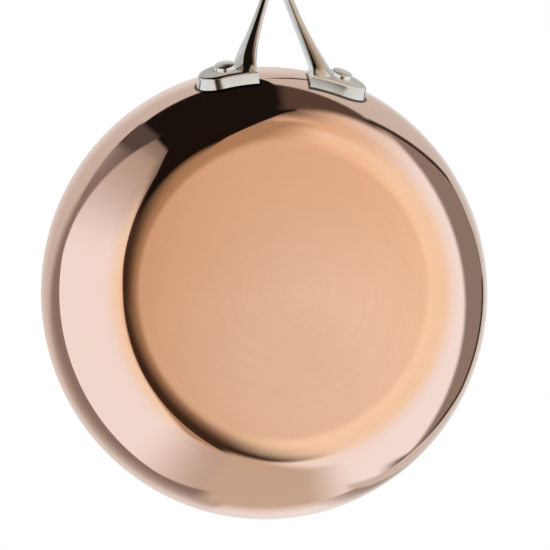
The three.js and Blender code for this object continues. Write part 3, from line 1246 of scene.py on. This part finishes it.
# Colours of the cards
GLOW = (1.0, 0.96, 0.88, 1.0)
AMBER = (0.97, 0.84, 0.71, 1.0)
TAN = (0.84, 0.62, 0.44, 1.0)
CHESTNUT = (0.20, 0.13, 0.085, 1.0)
PANEL_DUSK = (0.50, 0.41, 0.34, 1.0)
PANEL_FOOT = (0.60, 0.50, 0.42, 1.0)
FLAG_DUSK = (0.27, 0.22, 0.18, 1.0)
HAZEL = (0.46, 0.335, 0.235, 1.0)
UMBER = (0.05, 0.03, 0.022, 1.0)
BLACK = (0.012, 0.008, 0.006, 1.0)
WEDGE = (0.105, 0.068, 0.052, 1.0)
BROWN = (0.29, 0.23, 0.20, 1.0)
PALE = (0.66, 0.62, 0.57, 1.0)
LIP_LINE = (0.10, 0.065, 0.045, 1.0)
DARK_BROWN = (0.10, 0.08, 0.07, 1.0)
FAR_GROUND = (0.86, 0.90, 0.90, 1.0)
BACK_GROUND = (0.63, 0.53, 0.42, 1.0)

# Edges that several cards share
FRONT_SIDE = Edge(FRONT, 0.2, 0.4)
RIGHT_SIDE = Edge(RIGHT, 0.46, 0.50)
LEFT_SIDE = Edge(TOWARD_PANEL, 0.01, 0.04)
LIP_FOOT = Edge((0.05, 0.0, 1.0), 0.38, 0.39)
BASE_SIDE = Edge(DOWN, 0.38, 0.6)
FLAG_FOOT = Edge(UP, -0.94, -0.84)
FLAG_END = Edge((0.0, -1.0, 0.2), -0.13, -0.10)
PANEL_END = bearing_edge(178.0, True, 0.0, 0.05)

CARDS = (
    # Warm glow from straight below, tan light right of the handle, and a brown shade behind the fork
    Card(GLOW, (Edge(DOWN, 0.1, 0.7),)),
    Card(AMBER, (Edge((0.6, -0.8, 0.0), -0.18, -0.05), Edge(DOWN, 0.80, 0.92))),
    Card(TAN, (bearing_edge(358.0, True, -0.02, 0.02), bearing_edge(62.0, False, 0.0, 0.65),
               Edge(UP, -0.97, -0.65))),
    Card(CHESTNUT, (Edge(UP, -0.6, 0.2), Edge(LEFT, -0.44, -0.14), Edge(RIGHT, -0.1, 0.0), FRONT_SIDE)),
    # Fades of the white panel on the left, towards the handle and at its far end, and the flag's soft side
    Card(PANEL_DUSK, (bearing_edge(270.0, True, 0.17, 0.77), bearing_edge(5.0, False, -0.02, 0.02),
                      Edge(UP, -0.97, -0.7))),
    Card(PANEL_FOOT, (bearing_edge(222.0, False, 0.12, 0.52), PANEL_END, Edge(UP, -0.9, -0.7))),
    Card(FLAG_DUSK, (Edge(LEANING_FLAG, -0.16, 0.0), FLAG_END, FLAG_FOOT)),
    # Soft shade below the white panel, and the dark gap in two parts that follow its curved lower edge
    Card(HAZEL, (Edge((0.15, -1.0, 0.0), -0.21, -0.02), Edge(RIGHT, -0.42, -0.30), BASE_SIDE)),
    Card(UMBER, (Edge((0.10, 1.0, -0.40), -0.02, 0.03), Edge((-0.55, -1.0, 0.12), -0.21, 0.26), BASE_SIDE)),
    Card(UMBER, (Edge((0.62, 1.0, -0.40), -0.02, 0.03), Edge((-0.27, -1.0, 0.12), -0.21, 0.30),
                 Edge(FRONT, -0.06, 0.02), BASE_SIDE)),
    # Black flag behind the handle, with a brown wedge to its right
    Card(BLACK, (Edge(LEANING_FLAG, -0.015, 0.015), FLAG_END, FLAG_FOOT)),
    Card(BLACK, (LIP_FOOT, Edge(TOWARD_FLAG, -0.04, -0.01), FLAG_END)),
    Card(WEDGE, (Edge((0.0, -0.30, 1.0), 0.33, 0.36), Edge((0.0, 1.0, -0.2), 0.01, 0.09),
                 Edge(FRONT, 0.6, 0.7))),
    # Brown shade on the right, then the pale ground behind the handle
    Card(BROWN, (Edge(RIGHT, 0.3, 0.5), Edge((0.06, 0.0, 1.0), 0.55, 0.575))),
    Card(PALE, (Edge((0.0, -0.14, 1.0), 0.490, 0.498), FRONT_SIDE, Edge(LEFT, -0.2, -0.18))),
    Card(PALE, (Edge((0.0, -0.06, 1.0), 0.485, 0.495), FRONT_SIDE, Edge(LEFT, -0.54, -0.50))),
    # The flag reaches the crease under the left pad, and a dark line crosses the lip between the pads
    Card(BLACK, (Edge((0.0, -0.45, -1.0), -0.557, -0.550), Edge(RIGHT, -0.12, -0.04),
                 Edge(LEFT, -0.14, -0.11), Edge(UP, 0.40, 0.42), FRONT_SIDE)),
    Card(LIP_LINE, (Edge((0.0, -0.58, 1.0), 0.481, 0.497), Edge((0.0, 0.58, -1.0), -0.525, -0.509),
                    Edge(RIGHT, 0.06, 0.10), Edge(LEFT, -0.34, -0.28), FRONT_SIDE)),
    # Pale ground on the left, and in three planes on the right
    Card(PALE, (LIP_FOOT, LEFT_SIDE, PANEL_END)),
    Card(PALE, (Edge((0.375, 0.0, 1.0), 0.778, 0.782), RIGHT_SIDE)),
    Card(PALE, (Edge(UP, 0.752, 0.762), RIGHT_SIDE)),
    Card(PALE, (Edge((-0.45, 0.0, 1.0), 0.83, 0.845), RIGHT_SIDE)),
    # Brown shades beyond the white panel, darkest beside the flag, and the far ground, which brightens
    Card(BROWN, (LIP_FOOT, Edge((-0.28, 0.0, -1.0), -0.64, -0.52), Edge(DOWN, -0.74, -0.50),
                 LEFT_SIDE, PANEL_END)),
    Card(UMBER, (LIP_FOOT, Edge((-0.18, 0.0, -1.0), -0.61, -0.54), bearing_edge(304.0, True, 0.0, 0.40),
                 LEFT_SIDE)),
    Card(DARK_BROWN, (LIP_FOOT, Edge(TOWARD_FLAG, -0.10, -0.04), Edge(TOWARD_PANEL, -0.10, -0.06),
                      Edge(DOWN, -0.46, -0.42), FRONT_SIDE)),
    Card(FAR_GROUND, (Edge(UP, 0.62, 0.78), Edge(LEFT, -0.5, 0.1))),
    Card(FAR_GROUND, (Edge(UP, 0.76, 0.92), Edge(RIGHT, -0.1, 0.5))),
    # Dark line along the three planes on the right
    Card(UMBER, (Edge((0.375, 0.0, 1.0), 0.770, 0.775), Edge((-0.375, 0.0, -1.0), -0.787, -0.782),
                 Edge(FRONT, 0.06, 0.08), RIGHT_SIDE)),
    Card(UMBER, (Edge(UP, 0.705, 0.725), Edge(DOWN, -0.768, -0.757),
                 Edge(FRONT, -0.2, -0.18), Edge(BACK, -0.09, -0.07), RIGHT_SIDE)),
    Card(UMBER, (Edge((-0.45, 0.0, 1.0), 0.80, 0.82), Edge((0.45, 0.0, -1.0), -0.855, -0.84),
                 Edge(BACK, 0.16, 0.18), Edge(FRONT, -0.62, -0.5), RIGHT_SIDE)),
    # Tan ground on the side away from the handle
    Card(BACK_GROUND, (Edge((-0.38, -1.0, 0.342), -0.10, 0.16), bearing_edge(191.0, False, 0.02, 0.12),
                       Edge(UP, -0.75, -0.45), Edge(BACK, 0.3, 0.5), Edge(DOWN, -0.74, -0.52))),
)


@dataclass
class Studio:
    """Camera, pale floor, soft lamp and the white surround with its cards."""

    focal: float = 157.2
    sensor: float = 36.0
    clip: Range = (0.01, 100.0)
    camera_place: Vector = field(default_factory=lambda: Vector((-23.0, -174.0, -1001.0)) * MM)
    camera_right: Vector = field(default_factory=lambda: Vector((0.04534, 0.98477, -0.16790)))
    camera_up: Vector = field(default_factory=lambda: Vector((0.99855, -0.04958, -0.02114)))
    floor_size: float = 6.0
    floor_drop: float = 0.2 * MM
    floor_colour: Colour = (0.86, 0.86, 0.855, 1.0)
    floor_fade: Range = (0.35, 1.7)
    lamp_size: float = 1.2
    lamp_power: float = 22.0
    lamp_place: Spot = (0.5, -0.9, 1.8)
    lamp_aim: Spot = (0.1, 0.0, 0.0)
    plain_light: Colour = (0.62, 0.62, 0.62, 1.0)
    cards: tuple[Card, ...] = CARDS

    def camera(self) -> None:
        """Set up the camera below the pan, as the photograph was taken."""
        data = bpy.data.cameras.new("camera")
        data.sensor_width = self.sensor
        data.lens = self.focal
        data.clip_start, data.clip_end = self.clip
        made = placed("camera", data)
        back = self.camera_right.cross(self.camera_up)
        turn = Matrix((self.camera_right, self.camera_up, back)).transposed().to_4x4()
        made.matrix_world = Matrix.Translation(self.camera_place) @ turn
        bpy.context.scene.camera = made

    def floor_paint(self) -> bpy.types.Material:
        """Paint that fades to white in the distance and lets the view from below through.

        Returns:
            The material.
        """
        paint = bpy.data.materials.new("pale_floor")
        paint.use_nodes = True
        sheet = NodeSheet(paint.node_tree)
        rays = sheet.add("ShaderNodeLightPath").outputs["Is Camera Ray"]
        below = sheet.add("ShaderNodeNewGeometry").outputs["Backfacing"]
        shown = sheet.math("MULTIPLY", rays, sheet.math("SUBTRACT", 1.0, below))
        far = sheet.ease(sheet.vector("LENGTH", sheet.place())["Value"], *self.floor_fade)
        matt = sheet.add("ShaderNodeBsdfDiffuse", Color=self.floor_colour).outputs[0]
        white = sheet.add("ShaderNodeEmission", Color=WHITE, Strength=1.0).outputs[0]
        ground = sheet.add("ShaderNodeMixShader", in0=far, in1=matt, in2=white).outputs[0]
        clear = sheet.add("ShaderNodeBsdfTransparent").outputs[0]
        sheet.surface(sheet.add("ShaderNodeMixShader", in0=shown, in1=clear, in2=ground))
        return paint

    def floor(self) -> None:
        """Lay the pale floor that takes the pan's shadow."""
        half = self.floor_size / 2
        corners = [(-half, -half), (half, -half), (half, half), (-half, half)]
        mesh = bpy.data.meshes.new("floor")
        mesh.from_pydata([(x, y, -self.floor_drop) for x, y in corners], [], [(0, 1, 2, 3)])
        mesh.materials.append(self.floor_paint())
        made = placed("floor", mesh)

    def lamp(self) -> None:
        """Hang the broad soft lamp that draws the shadow on the floor."""
        data = bpy.data.lights.new("soft_lamp", "AREA")
        data.shape, data.size, data.energy = "DISK", self.lamp_size, self.lamp_power
        made = placed("soft_lamp", data)
        made.location = self.lamp_place
        aim = Vector(self.lamp_aim) - made.location
        made.rotation_euler = aim.to_track_quat("-Z", "Y").to_euler()
        made.visible_glossy = False
        made.visible_camera = False

    def surround(self) -> None:
        """Put up the white surround: plain for matt surfaces, with cards for what metal mirrors."""
        world = bpy.data.worlds.new("studio")
        bpy.context.scene.world = world
        world.use_nodes = True
        world.cycles.sampling_method = "NONE"
        sheet = NodeSheet(world.node_tree)
        way = sheet.add("ShaderNodeTexCoord").outputs["Generated"]
        colour: Paint = WHITE
        for card in self.cards:
            colour = card.paint(sheet, way, colour)
        rays = sheet.add("ShaderNodeLightPath").outputs
        mirrored = sheet.math("MAXIMUM", rays["Is Glossy Ray"], rays["Is Transmission Ray"])
        seen = sheet.blend(mirrored, self.plain_light, colour)
        seen = sheet.blend(rays["Is Camera Ray"], seen, WHITE)
        light = sheet.add("ShaderNodeBackground", Color=seen, Strength=1.0)
        sheet.add("ShaderNodeOutputWorld", Surface=light.outputs[0])

    def build(self) -> None:
        """Set up the camera, floor, lamp and surround."""
        bpy.context.scene.view_settings.view_transform = "Standard"
        self.camera()
        self.floor()
        self.lamp()
        self.surround()


def report(pieces: list[bpy.types.Object]) -> None:
    """Log each piece with its number of faces and its material."""
    for piece in pieces:
        LOG.info("%s: %d faces, %s", piece.name, len(piece.data.polygons), piece.data.materials[0].name)


def main() -> None:
    """Build the studio and the pan's pieces, then note the sizes."""
    _, pan_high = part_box(Ply.COPPER.value)
    _, handle_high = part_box("handle")
    section = WallSection(pan_high.x, pan_high.z)
    seat = LipSeat(section)
    body = PanBody(section)
    handle = Handle(seat, handle_high.x)
    rivets = Rivets(seat, handle.face, body.lining_depth)
    Studio().build()
    report(body.build(rivets.drills()))
    report([handle.build([*rivets.drills(), *rivets.spot_faces()])])
    report(rivets.build())


if __name__ == "__main__":
    main()
